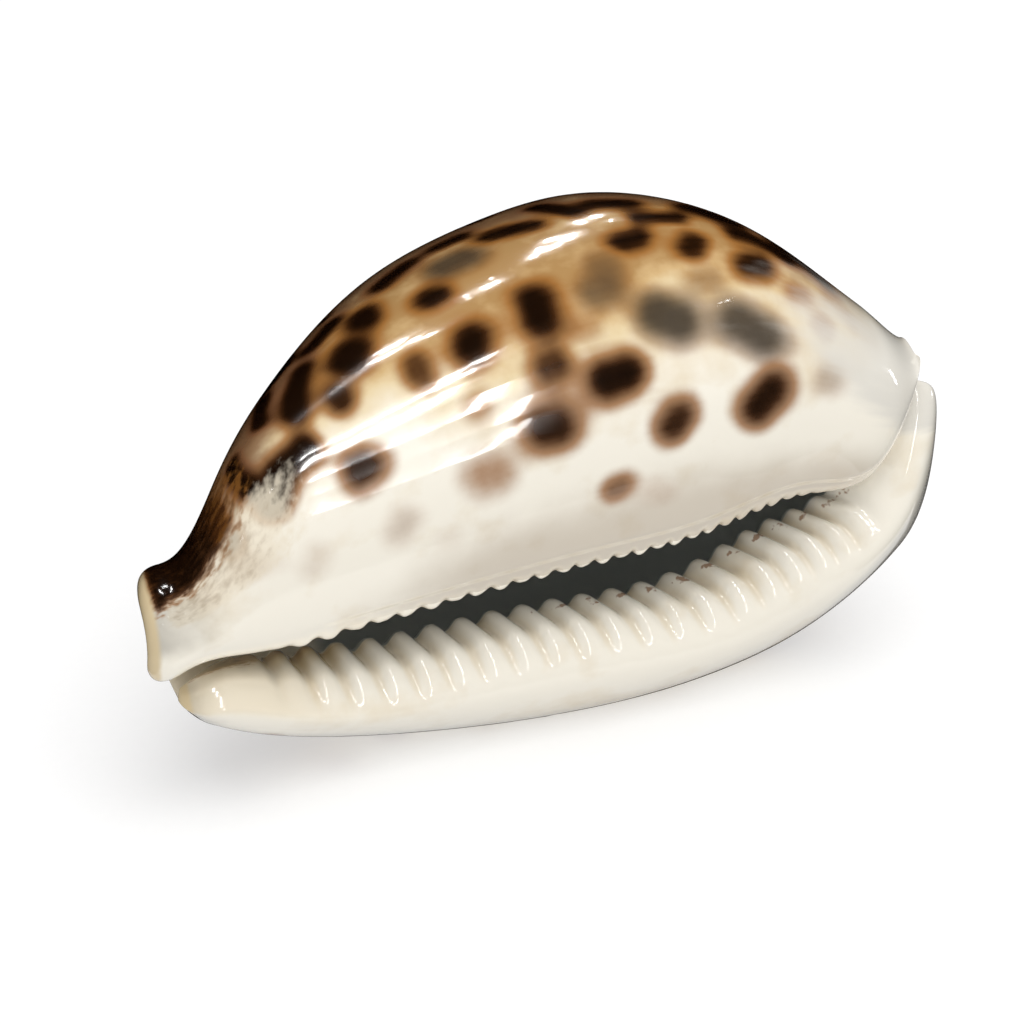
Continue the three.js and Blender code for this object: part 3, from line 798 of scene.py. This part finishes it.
def opal_acrylic():
    """Studio floor: a matt white opal acrylic sheet lit from below, which keeps shadows faint.

    Its grain is about a millimetre, and so faint that it only keeps the white from being flat.
    """
    material, tree = material_tree("opal_acrylic")
    place = add_node(tree, "ShaderNodeTexCoord")
    grain = add_node(tree, "ShaderNodeTexNoise",
                     {"Vector": place.outputs["Object"], "Scale": 900.0})
    tint = add_node(tree, "ShaderNodeMix", {
        MIX_FACTOR: grain.outputs["Fac"],
        MIX_A: linear("#BBBBBB"),
        MIX_B: linear("#BEBEBE"),
    }, data_type="RGBA")
    surface = add_node(tree, "ShaderNodeBsdfPrincipled", {
        "Base Color": tint.outputs[MIX_RESULT],
        "Roughness": 0.9,
        "Specular IOR Level": 0.1,
        "Emission Color": linear("#FFFFFF"),
        "Emission Strength": 0.48,
    })
    add_node(tree, "ShaderNodeOutputMaterial", {"Surface": surface.outputs["BSDF"]})
    return material


# ---------------------------------------------
# Studio
# ---------------------------------------------
# Softboxes that show in the glaze: azimuth, elevation, width and height in metres, brightness,
# and how many uneven panes it shows as. Azimuth 0 is in front of the slot, and 90 past the
# posterior end. The last two are wide, dim panels below the floor. They stand in for what the
# polished underside would show of the lit floor, which is itself kept out of the glaze, as the
# surround is, because both would whiten the dark back along its outline.
SOFTBOXES = [
    (8, 4, 0.016, 0.22, 50, 1),
    (6, 21, 0.022, 0.24, 60, 1),
    (1, 38, 0.026, 0.26, 80, 1),
    (-8, 54, 0.030, 0.20, 80, 1),
    (-14, 66, 0.08, 0.24, 110, 8),
    (-160, 63, 0.07, 0.24, 110, 8),
    (180, 54, 0.08, 0.18, 110, 7),
    (165, 42, 0.08, 0.24, 110, 8),
    (160, 28, 0.08, 0.16, 60, 4),
    (41, 55, 0.06, 0.05, 70, 2),
    (-61, 15, 0.06, 0.10, 60, 2),
    (82, -4, 0.05, 0.16, 50, 1),
    (-40, 42, 0.06, 0.10, 40, 3),
    (-21, -70, 1.6, 0.8, 1.5, 1),
    (158, -66, 1.6, 0.8, 1.5, 1),
]
SOFTBOX_DISTANCE = 1.0
PANE_SEED = 4
PANE_SHARE = (0.08, 0.30)       # a pane's sides as shares of its softbox's
# The large soft light above: azimuth, elevation, distance, width and height
OVERHEAD = (15, 72, 1.3, 1.5, 1.5)


def direction(azimuth, elevation):
    """Unit vector towards a place round the shell, azimuth 0 being in front of the slot."""
    a, e = math.radians(azimuth), math.radians(elevation)
    return Vector((math.sin(a) * math.cos(e), -math.cos(a) * math.cos(e), math.sin(e)))


def add_light(name, aim, azimuth, elevation, distance, width, height, power):
    """A rectangular light at a distance from the aim, facing it and unseen by the camera."""
    lamp = bpy.data.lights.new(name, "AREA")
    lamp.shape = "RECTANGLE"
    lamp.size, lamp.size_y = width, height
    lamp.energy = power
    holder = bpy.data.objects.new(name, lamp)
    towards = direction(azimuth, elevation)
    holder.location = aim + towards * distance
    holder.rotation_mode = "QUATERNION"
    holder.rotation_quaternion = towards.to_track_quat("Z", "Y")
    holder.visible_camera = False
    bpy.context.scene.collection.objects.link(holder)
    return holder


class CowrieSizes(bpy.types.PropertyGroup):
    tooth_height: FloatProperty(
        name="Lip tooth height",
        description="From valley to crest of the outer lip's ridges, in mm",
        default=1.7, min=0, max=3)
    nub_height: FloatProperty(
        name="Columella tooth height", description="Height of the fine teeth opposite, in mm",
        default=0.75, min=0, max=1.5)
    ledge_depth: FloatProperty(
        name="Ledge depth", description="Depth of the ledge that carries the fine teeth, in mm",
        default=0.3, min=0, max=0.8)


def colour_property(name, description, hex_colour):
    """A colour for the panel, from its sRGB hex."""
    return FloatVectorProperty(name=name, description=description, subtype="COLOR", size=4,
                               min=0, max=1, default=linear(hex_colour))


class CowrieColours(bpy.types.PropertyGroup):
    porcelain: colour_property("Base", "White of the base and lips", "#FAF4E6")
    cream: colour_property("Cream", "First tint above the base", "#EEE2CB")
    straw: colour_property("Straw", "Between the teeth, and low on the back", "#E2CDA4")
    tan: colour_property("Tan", "Ground of the back", "#CFAE7C")
    amber: colour_property("Amber", "Deepest ground of the back", "#B08A58")
    bark: colour_property("Bark", "Reddish brown between the crowded spots", "#77533F")
    halo: colour_property("Spot edge", "Orange-brown edge of a spot", "#9C662E")
    umber: colour_property("Spot", "Brown of a spot", "#3E210D")
    core: colour_property("Spot centre", "Nearly black centre of a spot", "#0E0603")
    smoke: colour_property("Veiled spot", "Spot seen through milky enamel", "#3C352C")
    pearl: colour_property("Pearl", "Milky streaks near the posterior end", "#E0DCD3")
    rust: colour_property("Flecks", "Small flecks on the teeth", "#8F5A26")
    # Drab is also painted shade: on the lower columellar flank by the slot, and in the gaps between
    # the fine teeth
    drab: colour_property("Fine gaps", "Between the fine teeth", "#9A8468")
    # The hollow's grey is painted shade, greyer than the shell's own pale inside
    hollow_shade: colour_property("Hollow", "Grey of the inside, which is in shade", "#A9AEAC")


class StudioSizes(bpy.types.PropertyGroup):
    azimuth: FloatProperty(
        name="Camera azimuth", description="Degrees round from the front, minus towards the spout",
        default=-21.3)
    elevation: FloatProperty(
        name="Camera elevation", description="Degrees above the floor", default=29.7)
    distance: FloatProperty(
        name="Camera distance", description="From the camera to what it looks at", unit="LENGTH",
        default=0.42, min=0.1)
    lens: FloatProperty(
        name="Lens", description="Focal length in mm", default=140.0, min=20)
    aim_along: FloatProperty(
        name="Aim along", description="What the camera looks at, towards the posterior end",
        unit="LENGTH", default=-0.0005)
    aim_across: FloatProperty(
        name="Aim across", description="What the camera looks at, towards the crown",
        unit="LENGTH", default=-0.0046)
    aim_up: FloatProperty(
        name="Aim height", description="What the camera looks at, above the floor",
        unit="LENGTH", default=0.0205)
    floor_size: FloatProperty(
        name="Floor", description="Length of the floor's sides", unit="LENGTH", default=6.0, min=1)
    fill: FloatProperty(
        name="Overhead light", description="Power of the large soft light above, in watts",
        default=18.0, min=0)
    surround: FloatProperty(
        name="Surround", description="Brightness of the room around", default=0.50, min=0)


class COWRIE_OT_grow_shell(bpy.types.Operator):
    """Grow the spotted shell, with its teeth, its hollow and its glaze"""

    bl_idname = "cowrie.grow_shell"
    bl_label = "Grow shell"

    def execute(self, context):
        mesh = shell_mesh(context.scene.cowrie_sizes)
        mesh.materials.append(glazed_aragonite(context.scene.cowrie_colours))
        shell = bpy.data.objects.new("cowrie_shell", mesh)
        context.scene.collection.objects.link(shell)
        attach(shell, "root")
        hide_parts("shell")
        return {"FINISHED"}


class COWRIE_OT_set_stage(bpy.types.Operator):
    """Set up the floor, the soft lights and the camera"""

    bl_idname = "cowrie.set_stage"
    bl_label = "Set stage"

    def execute(self, context):
        scene = context.scene
        sizes = scene.cowrie_studio
        aim = Vector((sizes.aim_along, sizes.aim_across, sizes.aim_up))
        half = sizes.floor_size / 2
        floor_mesh = bpy.data.meshes.new("floor")
        corners = [(-half, -half, 0), (half, -half, 0), (half, half, 0), (-half, half, 0)]
        floor_mesh.from_pydata(corners, [], [(0, 1, 2, 3)])
        floor_mesh.materials.append(opal_acrylic())
        floor = bpy.data.objects.new("floor", floor_mesh)
        scene.collection.objects.link(floor)
        floor.visible_glossy = False

        overhead = add_light("overhead", aim, *OVERHEAD, sizes.fill)
        overhead.visible_glossy = False
        rng = np.random.default_rng(PANE_SEED)
        for number, (azimuth, elevation, *sides, brightness, panes) in enumerate(SOFTBOXES):
            spread = np.degrees(sides) / SOFTBOX_DISTANCE
            for pane in range(panes):
                off, size = np.zeros(2), np.array(sides)
                if panes > 1:
                    off = rng.uniform(-0.5, 0.5, 2) * spread
                    size = size * rng.uniform(*PANE_SHARE, 2)
                pane_azimuth = azimuth + off[0] / math.cos(math.radians(elevation))
                lamp = add_light(f"softbox_{number}_{pane}", aim, pane_azimuth, elevation + off[1],
                                 SOFTBOX_DISTANCE, *size, brightness * size.prod())
                lamp.visible_diffuse = False

        world = bpy.data.worlds.new("surround")
        world.use_nodes = True
        world.node_tree.nodes.clear()
        room = add_node(world.node_tree, "ShaderNodeBackground",
                        {"Color": linear("#FFFFFF"), "Strength": sizes.surround})
        add_node(world.node_tree, "ShaderNodeOutputWorld", {"Surface": room.outputs["Background"]})
        world.cycles_visibility.glossy = False
        scene.world = world

        lens = bpy.data.cameras.new("camera")
        lens.lens = sizes.lens
        camera = bpy.data.objects.new("camera", lens)
        back = direction(sizes.azimuth, sizes.elevation)
        camera.location = aim + back * sizes.distance
        camera.rotation_mode = "QUATERNION"
        camera.rotation_quaternion = back.to_track_quat("Z", "Y")
        scene.collection.objects.link(camera)
        scene.camera = camera
        scene.view_settings.view_transform = "Standard"
        return {"FINISHED"}


class COWRIE_PT_panel(bpy.types.Panel):
    bl_label = "Cowrie shell"
    bl_idname = "COWRIE_PT_panel"
    bl_space_type = "VIEW_3D"
    bl_region_type = "UI"
    bl_category = "Cowrie"

    def draw(self, context):
        for group in (context.scene.cowrie_sizes, context.scene.cowrie_colours,
                      context.scene.cowrie_studio):
            box = self.layout.box()
            for name in group.__annotations__:
                box.prop(group, name)
        for operator in (COWRIE_OT_grow_shell, COWRIE_OT_set_stage):
            self.layout.operator(operator.bl_idname)


CLASSES = (CowrieSizes, CowrieColours, StudioSizes, COWRIE_OT_grow_shell, COWRIE_OT_set_stage,
           COWRIE_PT_panel)


def register():
    for added in CLASSES:
        bpy.utils.register_class(added)
    bpy.types.Scene.cowrie_sizes = PointerProperty(type=CowrieSizes)
    bpy.types.Scene.cowrie_colours = PointerProperty(type=CowrieColours)
    bpy.types.Scene.cowrie_studio = PointerProperty(type=StudioSizes)


def unregister():
    del bpy.types.Scene.cowrie_studio
    del bpy.types.Scene.cowrie_colours
    del bpy.types.Scene.cowrie_sizes
    for added in reversed(CLASSES):
        bpy.utils.unregister_class(added)


def main():
    register()
    bpy.ops.cowrie.grow_shell()
    bpy.ops.cowrie.set_stage()


if __name__ == "__main__":
    main()
